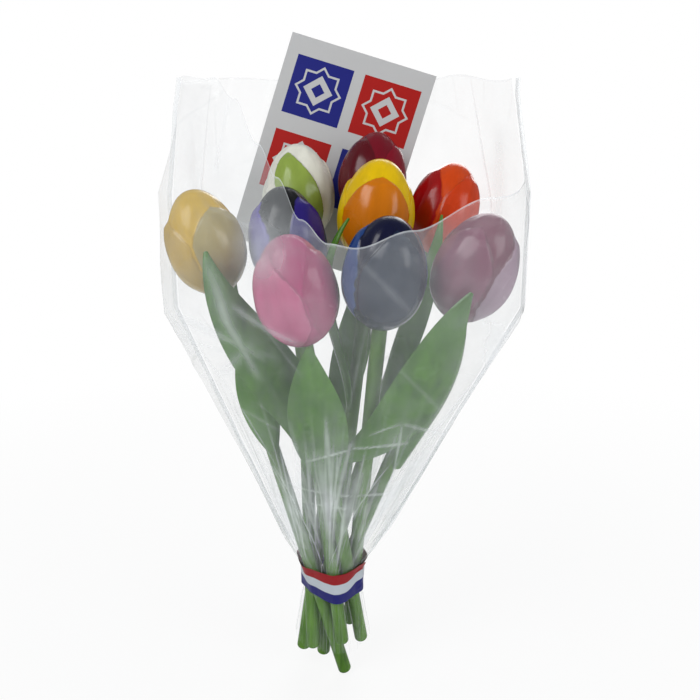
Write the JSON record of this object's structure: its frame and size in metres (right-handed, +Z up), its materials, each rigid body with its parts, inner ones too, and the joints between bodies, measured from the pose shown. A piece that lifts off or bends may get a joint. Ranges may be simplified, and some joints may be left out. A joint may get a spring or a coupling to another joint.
{
  "type": "wooden tulip bouquet",
  "caption": "Tied bunch of painted wooden tulips with carved heads, dowel stems and leaves in a clear film sleeve, with a striped ribbon and a card that slides out.",
  "frame": {"origin": "on the axis of the bunch at the middle height of the ribbon that ties it", "axes": "+Z up along the bunch towards the heads, -Y towards the viewer of the open front, +X to the viewer's right"},
  "size_m": [0.2168, 0.169, 0.4364],
  "materials": {
    "paint_gold": "gloss paint on carved wood",
    "paint_purple": "gloss paint on carved wood",
    "paint_pink": "gloss paint on carved wood",
    "paint_blue": "gloss paint on carved wood",
    "paint_mauve": "gloss paint on carved wood",
    "paint_orange": "gloss paint on carved wood",
    "paint_red": "gloss paint on carved wood",
    "paint_white": "gloss paint on carved wood",
    "paint_yellow": "gloss paint on carved wood",
    "paint_green": "gloss green paint on wood",
    "clear_film": "clear creased film",
    "striped_ribbon": "red, white and blue satin stripes",
    "card_board": "matt printed board"
  },
  "bodies": {
    "bunch": {"head_gold": "paint_gold", "stem_gold": "paint_green", "leaf_gold": "paint_green", "head_purple": "paint_purple", "stem_purple": "paint_green", "leaf_purple": "paint_green", "head_pink": "paint_pink", "stem_pink": "paint_green", "leaf_pink": "paint_green", "head_blue": "paint_blue", "stem_blue": "paint_green", "leaf_blue": "paint_green", "head_mauve": "paint_mauve", "stem_mauve": "paint_green", "leaf_mauve": "paint_green", "head_orange": "paint_orange", "stem_orange": "paint_green", "leaf_orange": "paint_green", "head_red": "paint_red", "stem_red": "paint_green", "leaf_red": "paint_green", "head_white": "paint_white", "stem_white": "paint_green", "leaf_white": "paint_green", "head_yellow": "paint_yellow", "stem_yellow": "paint_green", "leaf_yellow": "paint_green", "film_front": "clear_film", "film_back": "clear_film", "ribbon": "striped_ribbon"},
    "card": {"gift_card": "card_board"}
  },
  "joints": [
    {"name": "card_slide", "type": "slide", "parent": "bunch", "child": "card", "axis": [0.303, 0.1231, 0.945], "range_m": [0, 0.1]}
  ]
}
